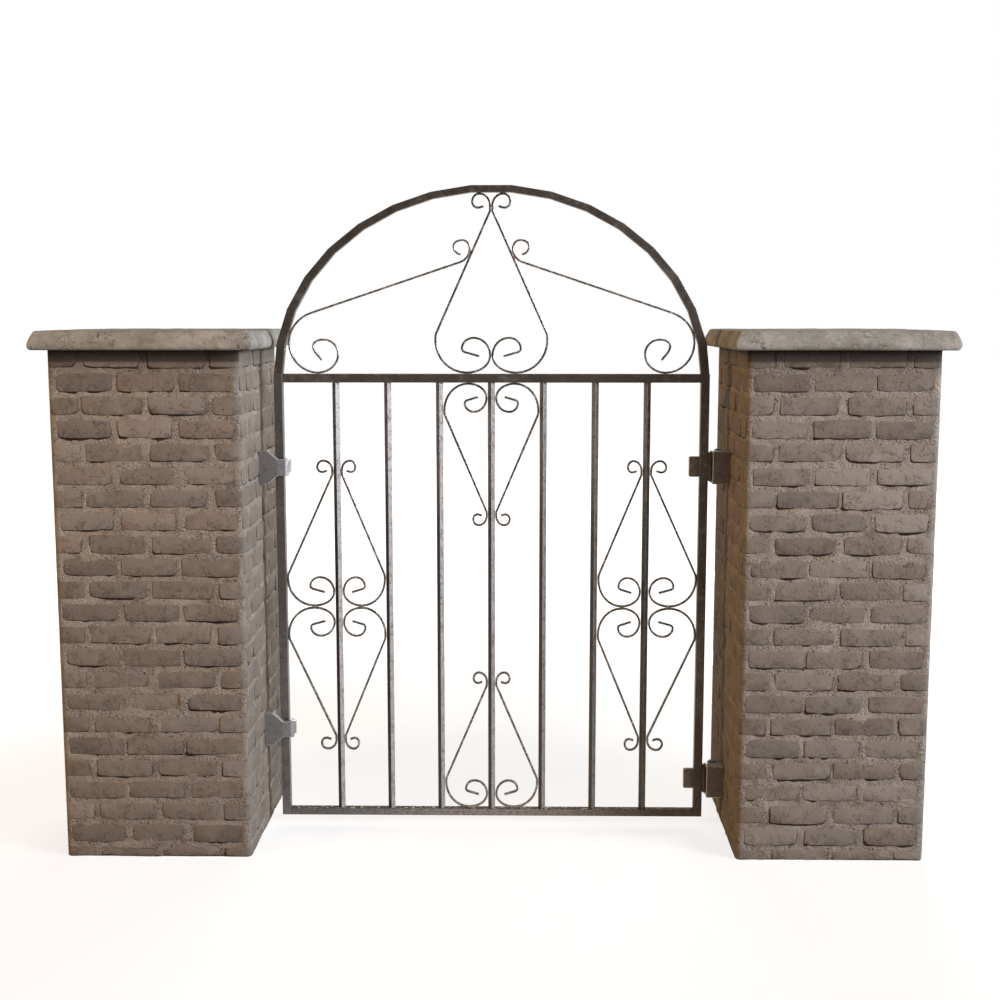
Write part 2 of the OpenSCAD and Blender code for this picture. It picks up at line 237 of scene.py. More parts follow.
def masonryGroup():
    build = masonryBuild
    tree, given, out = newGroup(
        "masonrySkin",
        {"Vector": ["place"], "Color": ["base", "pale", "dark"],
         "Float": ["patchScale", "gritScale", "grit", "pits"]},
        {"Color": ["colour"], "Float": ["rough", "height"]},
    )
    place, patchScale, gritScale = (given[n] for n in ("place", "patchScale", "gritScale"))
    patches = noiseAt(tree, place, patchScale, *build["patches"])
    streakScale = times(tree, patchScale, build["streakScale"])
    streaks = noiseAt(tree, place, streakScale, *build["streaks"])
    grit = noiseAt(tree, place, gritScale, *build["grit"])
    pitScale = times(tree, gritScale, build["pitScale"])
    cells = cellsAt(tree, place, pitScale)["Distance"]
    driftScale = times(tree, patchScale, build["driftScale"])
    drift = ramp(tree, noiseAt(tree, place, driftScale, build["driftDetail"]), *build["driftAt"])
    pits = times(tree, ramp(tree, cells, *build["pitAt"]), drift, given["pits"])
    colour = mix(tree, given["base"], given["pale"], ramp(tree, patches, *build["paleAt"]))
    colour = mix(tree, colour, given["dark"], ramp(tree, patches, *build["darkAt"]))
    streaked = ramp(tree, streaks, *build["streakAt"])
    colour = mix(tree, colour, given["pale"], streaked, build["streakShare"])
    for tint in ("dark", "pale"):
        span, share = build[tint + "Grit"]
        grains = ramp(tree, grit, *span)
        colour = mix(tree, colour, given[tint], grains, given["grit"], share)
    colour = mix(tree, colour, build["pitColour"], pits, build["pitShare"])
    height = times(tree, grit, given["grit"])
    height = plus(tree, height, times(tree, streaks, build["streakHeight"]))
    feed(tree, out, {
        "colour": colour, "rough": ramp(tree, streaks, *build["roughAt"]),
        "height": minus(tree, height, times(tree, pits, build["pitDepth"])),
    })
    return tree


# aged iron skin: dark scale, bare worn specks, rust where welds and damp are
ironSkinBuild = {
    "broad": (7.0, 5.0, 0.6), "mottle": (62.0, 6.0, 0.66, 0.3), "fine": (240.0, 3.0, 0.65),
    "wearShares": (0.5, 0.5), "wearGain": 0.25, "edgeGain": 0.09, "wornAt": (0.6, 0.78),
    "rustShares": (0.65, 0.35), "rustingGain": 0.25, "weldGain": 0.2, "rustAt": (0.62, 0.82),
    "rustShare": 0.8, "rustRough": 0.2, "metalAt": (0.0, 1.0, 0.95, 0.35),
    "scale": (0.045, 0.036, 0.029), "scaleAt": (0.42, 0.75, 0.0, 0.45),
    "roughAt": (0.3, 0.7, 0.36, 0.52), "heightShares": (0.7, 0.3),
}


def ironGroup():
    build = ironSkinBuild
    tree, given, out = newGroup(
        "ironSkin",
        {"Vector": ["place"], "Color": ["iron", "worn", "rust"],
         "Float": ["wear", "rusting", "weld", "edge"]},
        {"Color": ["colour"], "Float": ["rough", "metal", "height"]},
    )
    place = given["place"]
    broad, mottle, fine = (noiseAt(tree, place, *build[n]) for n in ("broad", "mottle", "fine"))
    wear = blend(tree, mottle, fine, build["wearShares"])
    rust = blend(tree, broad, mottle, build["rustShares"])
    wear, rust = (
        plus(tree, start, *(times(tree, given[name], build[name + "Gain"]) for name in names))
        for start, names in ((wear, ("wear", "edge")), (rust, ("rusting", "weld")))
    )
    rusted = ramp(tree, rust, *build["rustAt"])
    scaled = ramp(tree, mottle, *build["scaleAt"])
    colour = mix(tree, given["iron"], build["scale"], scaled)
    colour = mix(tree, colour, given["worn"], ramp(tree, wear, *build["wornAt"]))
    colour = mix(tree, colour, given["rust"], rusted, build["rustShare"])
    rough = ramp(tree, mottle, *build["roughAt"])
    feed(tree, out, {
        "colour": colour, "metal": ramp(tree, rusted, *build["metalAt"]),
        "rough": plus(tree, rough, times(tree, rusted, build["rustRough"])),
        "height": blend(tree, mottle, fine, build["heightShares"]),
    })
    return tree


masonrySkin = masonryGroup()
ironSkin = ironGroup()

# finishes: brick, mortar and cap
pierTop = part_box("left_pier")[1].z
# painted shade on the brick piers: a painted shadow band under the cap, painted shade in the
# crevices, and darker towards the foot
wallShadeBuild = {
    "colour": (0.056, 0.043, 0.033), "full": 0.025, "fadeTo": 0.041, "halfTo": 0.1, "half": 0.4,
    "capShadowSideAt": (0.2, 0.8, 0.35, 1.0),
    # painted crevice shade: its colour, where it starts, and how much weaker it is on the two sides
    "crevice": (0.06, 0.039, 0.026), "creviceAt": (0.3, 0.85), "creviceShadeSide": (0.1, 0.6, 0.12, 1.0),
    "shadeBreakNoise": (60.0,), "shadeBreakAt": (0.3, 0.7, -0.1, 0.1),
    # darker towards the foot of the pier
    "footDark": (0.1, 0.076, 0.055), "footDarkAt": (1.1, 0.0, 0.0, 0.15),
}
brickLook = {
    "base": (0.212, 0.172, 0.13), "pale": (0.28, 0.232, 0.183), "dark": (0.136, 0.106, 0.081),
    "patchScale": 19.0, "gritScale": 230.0, "grit": 0.4, "pits": 0.5, "bump": 0.5, "deep": 0.0035,
    "calmAt": (0.1, 0.6, 0.3, 1.0),
    "tones": (
        ("tone", (0.5, 0.0, 0.0, 0.62), (0.142, 0.112, 0.086)),
        ("tone", (0.5, 1.0, 0.0, 0.72), (0.335, 0.284, 0.23)),
        ("hue", (0.5, 1.0, 0.0, 0.35), (0.25, 0.19, 0.138)),
        ("hue", (0.35, 0.0, 0.0, 0.4), (0.187, 0.163, 0.135)),
    ),
    "wipe": (0.29, 0.24, 0.19), "wipeNoise": (11.0, 6.0, 0.7, 0.8),
    "wipeAt": (0.58, 0.74, 0.0, 0.6),
    "nick": (0.06, 0.045, 0.034), "nickNoise": (30.0, 4.0, 0.7), "nickAt": (0.026, 0.007),
    "nickDrift": (23.0, 2.0), "nickGrime": 0.6, "nickDriftAt": (0.58, 0.72),
    "nickSide": (0.1, 0.6, 0.35, 1.0), "nickShare": 0.55, "nickDepth": 0.6,
    "soot": wallShadeBuild,
}
mortarLook = {
    "base": (0.318, 0.266, 0.206), "pale": (0.415, 0.354, 0.286), "dark": (0.17, 0.135, 0.104),
    "patchScale": 13.0, "gritScale": 210.0, "grit": 0.7, "pits": 0.8, "bump": 0.9, "deep": 0.006,
    "grainScale": 165.0, "grainBend": (70.0, 2.0, 0.006),
    "washNoise": (17.0, 4.0, 0.6), "washAt": (0.42, 0.62, 0.06, 0.39),
    "hollow": (0.12, 0.092, 0.068), "hollowAt": (0.45, 0.0), "gapAt": (0.35, 0.75),
    "grainPale": (0.44, 0.37, 0.297), "grainPaleAt": (0.6, 1.0), "domeTone": 0.8,
    "soot": wallShadeBuild,
}
capLook = {
    "base": (0.288, 0.268, 0.217), "pale": (0.415, 0.382, 0.322), "dark": (0.21, 0.187, 0.151),
    "patchScale": 7.0, "gritScale": 150.0, "grit": 0.7, "pits": 0.35, "bump": 0.65, "deep": 0.0035,
    "flatten": (1.0, 1.0, 1.7), "broad": (6.0, 4.0, 0.55, 0.2), "cloud": (24.0, 5.0, 0.6, 0.3),
    "stains": (
        ("broad", (0.5, 0.34, 0.0, 0.5), (0.2, 0.178, 0.145)),
        ("broad", (0.5, 0.66, 0.0, 0.45), (0.44, 0.405, 0.35)),
        ("cloud", (0.47, 0.33, 0.0, 0.5), (0.17, 0.148, 0.12)),
        ("cloud", (0.53, 0.68, 0.0, 0.35), (0.47, 0.435, 0.38)),
    ),
    "mark": (0.075, 0.06, 0.046), "markNoise": (36.0, 3.0, 0.55, 0.8), "markAt": (0.034, 0.008),
    "markDriftNoise": (8.0, 3.0, 0.6), "markDriftAt": (0.47, 0.6),
    "markBreakNoise": (30.0, 2.0), "markBreakAt": (0.48, 0.58), "markShare": 0.85, "markDepth": 1.2,
    "reliefShares": (1.2, 2.4),
    "crack": (0.09, 0.073, 0.058), "crackScale": 9.0, "crackBend": (14.0, 4.0, 0.09),
    "crackAt": (0.022, 0.004), "crackDriftNoise": (5.0, 2.0), "crackDriftAt": (0.5, 0.62),
    "crackShare": 0.22, "crackDepth": 0.5,
}


# each brick its own tone, with wiped mortar and nicks; calmer on the sides than in front
def toneBricks(tree, place, colour, height, look):
    facing = facingFront(tree)
    calm = ramp(tree, facing, *look["calmAt"])
    for name, span, tint in look["tones"]:
        own = times(tree, minus(tree, attribute(tree, name), 0.5), calm)
        colour = mix(tree, colour, tint, ramp(tree, plus(tree, own, 0.5), *span))
    colour = mix(tree, colour, look["wipe"], noiseMask(tree, place, look, "wipe"))
    # nicks and hair cracks, most of them near the edges
    edges = times(tree, attribute(tree, "rimShade"), look["nickGrime"])
    drift = plus(tree, noiseAt(tree, place, *look["nickDrift"]), edges)
    nicks = times(
        tree, ramp(tree, lineNoise(tree, place, *look["nickNoise"]), *look["nickAt"]),
        ramp(tree, drift, *look["nickDriftAt"]), ramp(tree, facing, *look["nickSide"]),
    )
    colour = mix(tree, colour, look["nick"], nicks, look["nickShare"])
    return colour, minus(tree, height, times(tree, nicks, look["nickDepth"]))


# sand grains, washed out in patches and smeared smooth in the rest
def sandGrains(tree, place, colour, height, look):
    bent = bentPlace(tree, place, *look["grainBend"])
    grains = cellsAt(tree, bent, look["grainScale"])
    tone = addNode(tree, "SeparateColor", {0: grains["Color"]}).outputs[0]
    washed = noiseMask(tree, place, look, "wash")
    for value, span, tint in (
        (tone, "hollowAt", "hollow"), (tone, "grainPaleAt", "grainPale"),
        (grains["Distance"], "gapAt", "hollow"),
    ):
        grain = ramp(tree, value, *look[span])
        colour = mix(tree, colour, look[tint], washed, grain)
    dome = minus(tree, times(tree, tone, look["domeTone"]), grains["Distance"])
    return colour, plus(tree, height, times(tree, dome, washed))


# painted shade in the crevices and a painted shadow under the cap, both weaker on the two sides,
# and darker towards the foot
def shadeWall(tree, place, colour, height, look):
    soot = look["soot"]
    facing, rise = facingFront(tree), axes(tree, place)[2]
    shadeBreak = noiseMask(tree, place, soot, "shadeBreak")
    # painted shade in the crevices round the bricks, broken up by noise
    creviceShade = ramp(tree, plus(tree, attribute(tree, "rimShade"), shadeBreak), *soot["creviceAt"])
    creviceShade = times(tree, creviceShade, ramp(tree, facing, *soot["creviceShadeSide"]))
    # painted shadow of the cap: full dark just under it, a half shade over the top course, weaker
    # on the two sides
    full = pierTop - soot["full"]
    capShadow = ramp(tree, rise, pierTop - soot["fadeTo"], full)
    half = ramp(tree, rise, pierTop - soot["halfTo"], full, 0.0, soot["half"])
    capShadow = times(tree, larger(tree, capShadow, half), ramp(tree, facing, *soot["capShadowSideAt"]))
    colour = mix(tree, colour, soot["crevice"], creviceShade)
    # darker towards the foot
    colour = mix(tree, colour, soot["footDark"], ramp(tree, rise, *soot["footDarkAt"]))
    return mix(tree, colour, soot["colour"], capShadow), height


# stains, short cracks and pocks in drifts, then long hair cracks
def weatherStone(tree, place, colour, height, look):
    flat = addNode(tree, "Mapping", {"Vector": place, "Scale": look["flatten"]}).outputs[0]
    clouds = {name: noiseAt(tree, flat, *look[name]) for name in ("broad", "cloud")}
    for name, span, tint in look["stains"]:
        colour = mix(tree, colour, tint, ramp(tree, clouds[name], *span))
    marks = ramp(tree, lineNoise(tree, flat, *look["markNoise"]), *look["markAt"])
    for gate in ("markDrift", "markBreak"):
        marks = times(tree, marks, noiseMask(tree, place, look, gate))
    colour = mix(tree, colour, look["mark"], marks, look["markShare"])
    relief = blend(tree, clouds["broad"], clouds["cloud"], look["reliefShares"])
    relief = minus(tree, relief, times(tree, marks, look["markDepth"]))
    height = plus(tree, height, relief)
    bent = bentPlace(tree, place, *look["crackBend"])
    cells = cellsAt(tree, bent, look["crackScale"], feature="DISTANCE_TO_EDGE")["Distance"]
    drift = noiseMask(tree, place, look, "crackDrift")
    cracks = times(tree, ramp(tree, cells, *look["crackAt"]), drift)
    colour = mix(tree, colour, look["crack"], cracks, look["crackShare"])
    return colour, minus(tree, height, times(tree, cracks, look["crackDepth"]))


def masonryMaterial(name, look, *coats):
    material, tree, shader, place = newMaterial(name)
    skin = addSkin(tree, masonrySkin, place, look)
    colour, height = skin["colour"], skin["height"]
    for coat in coats:
        colour, height = coat(tree, place, colour, height, look)
    feed(tree, shader, {
        "Base Color": colour, "Roughness": skin["rough"], "Specular IOR Level": 0.25,
        "Normal": bumpFrom(tree, height, look),
    })
    return material


brickFace = masonryMaterial("brickFace", brickLook, toneBricks, shadeWall)
mortarJoint = masonryMaterial("mortarJoint", mortarLook, sandGrains, shadeWall)
capStone = masonryMaterial("capStone", capLook, weatherStone)

# finishes: iron
frameLook = {
    "iron": (0.132, 0.109, 0.089), "worn": (0.34, 0.3, 0.26), "rust": (0.12, 0.074, 0.043),
    "wear": 0.26, "rusting": 0.12, "bump": 0.3, "deep": 0.001, "dust": (0.3, 0.27, 0.24),
    "patchNoise": (16.0, 5.0, 0.68, 0.4),
    "pale": (0.26, 0.222, 0.19), "paleAt": (0.51, 0.68, 0.0, 0.6),
    "murk": (0.06, 0.046, 0.035), "murkAt": (0.46, 0.3, 0.0, 0.55),
    "soil": (0.03, 0.024, 0.016), "soilAt": (0.14, 0.1), "soilUp": (0.5, 0.8), "soilShare": 0.9,
    "specks": (0.6, 0.53, 0.4), "speckNoise": (110.0, 3.0, 0.6), "speckAt": (0.56, 0.62),
    # painted shade at the low end by the hinges
    "brown": (0.066, 0.046, 0.027), "brownAt": (0.26, 0.5), "brownRise": (0.5, 0.15, 0.0, 0.6),
}
# the latch stile: the frame iron painted lighter and greyer as painted light
litLatchLook = {**frameLook, "iron": (0.176, 0.161, 0.143), "worn": (0.42, 0.39, 0.35)}
barLook = {
    "iron": (0.172, 0.153, 0.135), "worn": (0.44, 0.404, 0.367), "rust": (0.15, 0.094, 0.056),
    "wear": 0.92, "rusting": 0.2, "dull": 0.12, "bump": 0.4, "deep": 0.0012,
    # the bars' left sides carry painted shade, darker low down
    "dust": (0.3, 0.27, 0.235), "shadedSide": (0.05, 0.039, 0.028), "leeAt": (1.12, 0.8, 0.18, 0.74),
}
# the scrolls: bright worn specks, partly real wear and partly painted glints
scrollLook = {
    "iron": (0.118, 0.097, 0.08), "worn": (0.66, 0.6, 0.53), "rust": (0.17, 0.098, 0.05),
    "wear": 0.56, "rusting": 0.25, "dull": -0.1, "bump": 0.3, "deep": 0.0008,
    "dust": (0.28, 0.25, 0.215),
}
# the stop brackets, with pale edges that are partly rubbed and partly a painted highlight
stopLook = {
    "iron": (0.318, 0.3, 0.28), "worn": (0.85, 0.83, 0.8), "rust": (0.1, 0.075, 0.055),
    "wear": -0.1, "rusting": -0.2, "dull": 0.1, "polish": 0.75, "bump": 0.08, "deep": 0.0006,
    "dust": (0.18, 0.165, 0.15),
}
# the hinge brackets: the bracket iron painted darker and warmer as painted shade, with pale edges
# partly rubbed and partly a painted highlight
shadedHingeLook = {
    "iron": (0.225, 0.188, 0.15), "worn": (0.85, 0.75, 0.6), "rust": (0.09, 0.062, 0.042),
    "wear": -0.05, "rusting": -0.1, "polish": 0.85, "bump": 0.1, "deep": 0.0006,
    "dust": (0.15, 0.13, 0.11),
}
polishGloss = 0.22
dustBuild = {
    "speck": (150.0, 5.0, 0.68), "centre": -0.02, "centreAt": (0.62, 0.1, 0.45, 1.5),
    "lowAt": (0.14, 0.03), "lowSpeck": (0.36, 0.64, 0.2, 0.85),
    "splashAt": (0.66, 0.46), "splashSpeck": (0.36, 0.66, 0.06, 0.4),
    "ledgeAt": (0.4, 0.06), "ledgeUp": (0.2, 0.75), "ledgeSpeck": (0.36, 0.56, 0.15, 1.0),
}


# dust and splashes on the lowest iron, thickest where a face looks up
def dustOn(tree, place, along, rise, upward):
    build = dustBuild
    speck = noiseAt(tree, place, *build["speck"])
    fromCentre = sizeOf(tree, minus(tree, along, build["centre"]))
    low = times(tree, ramp(tree, rise, *build["lowAt"]), ramp(tree, speck, *build["lowSpeck"]))
    low = maths(tree, "MULTIPLY", low, ramp(tree, fromCentre, *build["centreAt"]), clamp=True)
    splash = ramp(tree, speck, *build["splashSpeck"])
    splash = times(tree, ramp(tree, rise, *build["splashAt"]), splash)
    ledge = times(
        tree, ramp(tree, rise, *build["ledgeAt"]), ramp(tree, upward, *build["ledgeUp"]),
        ramp(tree, speck, *build["ledgeSpeck"]),
    )
    return larger(tree, low, splash, ledge)


# dark soil with pale specks lying on the bottom rail, and painted shade darkening its low end by
# the hinges
def soilRail(tree, place, along, rise, upward, colour, look):
    lying = times(tree, ramp(tree, rise, *look["soilAt"]), ramp(tree, upward, *look["soilUp"]))
    colour = mix(tree, colour, look["soil"], lying, look["soilShare"])
    specks = noiseMask(tree, place, look, "speck")
    colour = mix(tree, colour, look["specks"], lying, specks)
    byHinge, low = ramp(tree, along, *look["brownAt"]), ramp(tree, rise, *look["brownRise"])
    return mix(tree, colour, look["brown"], byHinge, low)


def ironMaterial(name, look):
    material, tree, shader, place = newMaterial(name)
    marks = {name: attribute(tree, name) for name in ("weld", "edge")}
    skin = addSkin(tree, ironSkin, place, look, **marks)
    along, rise = (axes(tree, place)[k] for k in (0, 2))
    upward = normalAxes(tree)[2]
    dust = dustOn(tree, place, along, rise, upward)
    colour, rough = skin["colour"], skin["rough"]
    if "pale" in look:
        # rain washed patches and darker scale along the bars
        patch = noiseAt(tree, place, *look["patchNoise"])
        for tint in ("pale", "murk"):
            colour = mix(tree, colour, look[tint], ramp(tree, patch, *look[tint + "At"]))
    if "dull" in look:
        rough = plus(tree, rough, look["dull"])
    # pale bracket edges: partly rubbed bare metal, partly a painted highlight along the bevels
    if "polish" in look:
        edgeGlintShare = times(tree, marks["edge"], look["polish"])
        colour = mix(tree, colour, look["worn"], edgeGlintShare)
        rough = minus(tree, rough, times(tree, edgeGlintShare, polishGloss))
    colour = mix(tree, colour, look["dust"], dust)
    if "soil" in look:
        colour = soilRail(tree, place, along, rise, upward, colour, look)
    if "shadedSide" in look:
        # painted shade on the left side of each bar, strongest low down
        low = ramp(tree, rise, *look["leeAt"])
        colour = mix(tree, colour, look["shadedSide"], attribute(tree, "shadedSide"), low)
    feed(tree, shader, {
        "Base Color": colour, "Roughness": larger(tree, rough, dust),
        "Metallic": times(tree, skin["metal"], minus(tree, 1.0, dust)),
        "Normal": bumpFrom(tree, skin["height"], look),
    })
    return material


ironLooks = {
    "frame": frameLook, "latch": litLatchLook, "bar": barLook, "scroll": scrollLook,
    "stop": stopLook, "hinge": shadedHingeLook,
}
irons = {name: ironMaterial(name + "Iron", look) for name, look in ironLooks.items()}
print("finishes made")


def placePiece(bm, name, material, body, smooth=True):
    mesh = bpy.data.meshes.new(name)
    for face in bm.faces:
        face.smooth = smooth
    bm.to_mesh(mesh)
    bm.free()
    mesh.materials.append(material)
    piece = bpy.data.objects.new(name, mesh)
    scene.collection.objects.link(piece)
    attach(piece, body)
    return piece


def rims(bm):
    return [edge for edge in bm.edges if edge.is_boundary]


def blendStep(low, high, value):
    t = min(1.0, max(0.0, (value - low) / (high - low)))
    return t * t * (3.0 - 2.0 * t)


def wave(x, y, z, size):
    return noise.noise(Vector((x / size, y / size, z / size)))


# waves are given as height, size and shift of the seed
def ripple(s, z, seed, *waves):
    return sum(high * wave(s, z, seed + shift, size) for high, size, shift in waves)


# brick piers: bricks laid in an unrolled strip round the pier, then wrapped on to it
pierBuild = {
    "sides": {"left": (41, 0.48), "right": (77, 0.61)},     # seed and mean tone
    "courses": 22, "footing": 0.027, "ground": 0.003, "joint": 0.0172, "header": 0.07,
    "arris": 0.014, "cornerRun": 0.02, "cornerMortar": 0.016, "sideMortar": 0.005,
    "endJitter": 0.0052, "bedJitter": 0.0018, "topJitter": (-0.0036, 0.0009),
    "toneSpread": 0.21, "tilt": 0.012, "seeds": 100, "faceOut": 0.0012, "faceShare": (-0.4, 1.0),
    "wornLow": (0.004, 0.015, 6, 0.016), "wornHigh": (0.002, 0.011, 8, 0.014),
    "columns": 8, "rows": 1, "roundSine": 0.5, "roundCosine": 0.866,
    "ringOut": (0.0, 0.0016, 0.0022, 0.0026), "ringIn": (0.0, -0.001, -0.0027, -0.0034),
    # painted shade at each brick's rims, most in the buried ring and along the bottom edge
    "ringShade": ((0.4, 0.0), (0.6, 0.0), (0.8, 0.1), (0.0, 1.0)),
    "lowShade": 1.0, "endShade": 0.7, "topShade": 0.25, "cornerSink": 0.25,
    "wobble": ((0.0022, 0.024, 0), (0.0012, 0.011, 7)),
    "bulge": (0.0013, 0.05, 0), "rimIn": 0.0006,
    "crevice": 0.0048, "creviceShares": ((0.7, 1.4), (0.1, 1.1), (0.1, 1.1)), "topCrevice": 0.05,
    "creviceMean": 0.55, "creviceMost": 1.3, "creviceWave": (1.5, 0.033, 3),
}


class Wrap:
    def __init__(self, low, high, radius):
        self.low, self.high, self.radius = low, high, radius
        self.front = high.x - low.x - 2 * radius
        self.side = high.y - low.y - 2 * radius
        self.arc = math.pi * radius / 2
        self.length = 2 * (self.front + self.side) + 4 * self.arc

    def corners(self):
        first = -self.arc / 2
        second = first + self.front + self.arc
        third = second + self.side + self.arc
        return first, second, third, third + self.front + self.arc

    # 0 on the rounded corners, 1 well away from them
    def offCorner(self, s):
        half = self.length / 2
        near = min(abs((s - corner + half) % self.length - half) for corner in self.corners())
        return blendStep(self.arc / 2, self.arc / 2 + pierBuild["cornerRun"], near)

    # the point at a length along the strip, out of its face and up
    def point(self, s, out, z):
        s %= self.length
        low, high, radius = self.low, self.high, self.radius
        # places in plan are complex numbers, x + yj
        runs = (
            (self.front, complex(low.x + radius, low.y), 1),
            (self.side, complex(high.x, low.y + radius), 1j),
            (self.front, complex(high.x - radius, high.y), -1),
            (self.side, complex(low.x, high.y - radius), -1j),
        )
        spot = complex(low.x + radius, low.y - out)
        for run, start, way in runs:
            face = way * -1j
            if s <= run:
                spot = start + way * s + face * out
                break
            s -= run
            if s <= self.arc:
                turn = s / radius
                toward = face * math.cos(turn) + way * math.sin(turn)
                spot = start + way * run - face * radius + toward * (radius + out)
                break
            s -= self.arc
        return Vector((spot.real, spot.imag, z))


# one course on one side: where each brick starts and ends, and the corner that it turns
def courseRuns(odd, onSide, start, spans):
    joint, header = pierBuild["joint"], pierBuild["header"]
    span = spans[onSide]
    third = (spans[1] - 2 * joint) / 3
    pair = (span - 2 * header - 3 * joint) / 2
    if odd and onSide:      # three bricks, the outer ones turn the corners
        return [(start - header, start + third, start),
                (start + third + joint, start + 2 * third + joint, None)]
    if odd:                 # a pair between the bricks that turn the corners
        turned = [(start - third, start + header, start)]
        places = (start + header + joint, start + header + 2 * joint + pair)
        return turned + [(at, at + pair, None) for at in places]
    if onSide:              # halves that stop short of the corners
        edge = pierBuild["sideMortar"]
        ends = ((edge, header), (header + joint, header + joint + pair),
                (span - header - joint - pair, span - header - joint), (span - header, span - edge))
        return [(start + near, start + far, None) for near, far in ends]
    # three whole bricks between mortared corners
    edge = pierBuild["cornerMortar"]
    whole = (span - 2 * edge - 2 * joint) / 3
    places = [start + edge + n * (whole + joint) for n in range(3)]
    return [(at, at + whole, None) for at in places]


def wornCorner(rng, least, most, power, extra):
    return rng.uniform(least, most) + rng.random() ** power * extra


def makeBrick(rng, ends, beds, corner, course, toneMean):
    end, bed, tilt = pierBuild["endJitter"], pierBuild["bedJitter"], pierBuild["tilt"]
    return {
        "s0": ends[0] + rng.uniform(-end, end), "s1": ends[1] + rng.uniform(-end, end),
        "z0": beds[0] + rng.uniform(-bed, bed),
        "z1": beds[1] + rng.uniform(*pierBuild["topJitter"]),
        "corner": corner, "course": course,
        "tone": min(1.0, max(0.0, rng.gauss(toneMean, pierBuild["toneSpread"]))),
        "hue": rng.random(),
        "tilt": rng.uniform(-tilt, tilt), "seed": rng.uniform(0, pierBuild["seeds"]),
        "out": rng.uniform(*pierBuild["faceShare"]) * pierBuild["faceOut"],
        "worn": [
            wornCorner(rng, *pierBuild[place])
            for place in ("wornLow", "wornLow", "wornHigh", "wornHigh")
        ],
        "crevice": [rng.uniform(*share) for share in pierBuild["creviceShares"]],
    }


def layCourses(wrap, height, rng, toneMean):
    footing, joint = pierBuild["footing"], pierBuild["joint"]
    pitch = (height - footing) / pierBuild["courses"]
    spans = (wrap.front + wrap.arc, wrap.side + wrap.arc)
    bricks = []
    for course in [*range(pierBuild["courses"]), -1]:     # the last one stands half in the ground
        low = max(pierBuild["ground"], footing + course * pitch + joint)
        beds = (low, footing + (course + 1) * pitch)
        for k, start in enumerate(wrap.corners()):
            for s0, s1, corner in courseRuns(course % 2, k % 2, start, spans):
                bricks.append(makeBrick(rng, (s0, s1), beds, corner, course, toneMean))
    return bricks


def brickTemplate():
    bm = bmesh.new()
    across, up, ring = (bm.verts.layers.float.new(n) for n in ("across", "up", "ring"))
    columns, rows = pierBuild["columns"], pierBuild["rows"]
    bmesh.ops.create_grid(bm, x_segments=columns, y_segments=rows, size=0.5)
    for vert in bm.verts:
        vert[across], vert[up] = vert.co.x + 0.5, vert.co.y + 0.5
    for count in range(1, len(pierBuild["ringOut"])):
        grown = bmesh.ops.extrude_edge_only(bm, edges=rims(bm))["geom"]
        for vert in grown:
            if isinstance(vert, bmesh.types.BMVert):
                vert[ring] = count
    bmesh.ops.holes_fill(bm, edges=rims(bm), sides=0)
    mesh = bpy.data.meshes.new("brickTemplate")
    bm.to_mesh(mesh)
    print("brick template,", len(bm.faces), "faces")
    bm.free()
    return mesh


# columns are even on a flat brick and bunch round the bend of one that turns a corner
def columnPlaces(brick, wrap):
    s0, s1, count = brick["s0"], brick["s1"], pierBuild["columns"]
    if brick["corner"] is None:
        return [s0 + (s1 - s0) * k / count for k in range(count + 1)]
    a, b = brick["corner"] - wrap.arc / 2, brick["corner"] + wrap.arc / 2
    bend = [a, a + wrap.arc / 3, a + 2 * wrap.arc / 3, b]
    if a - s0 > s1 - b:
        return [s0, s0 + (a - s0) / 3, s0 + 2 * (a - s0) / 3] + bend + [(b + s1) / 2, s1]
    return [s0, (s0 + a) / 2] + bend + [b + (s1 - b) / 3, b + 2 * (s1 - b) / 3, s1]


def creviceAt(brick, wrap, s, z, low, left, right):
    below, leftShare, rightShare = brick["crevice"]
    sideShare = leftShare if left else rightShare if right else pierBuild["topCrevice"]
    share = pierBuild["creviceMean"] + ripple(s, z, brick["seed"], pierBuild["creviceWave"])
    share = min(pierBuild["creviceMost"], max(0.0, share)) * (below if low else sideShare)
    return pierBuild["crevice"] * share * wrap.offCorner(s)


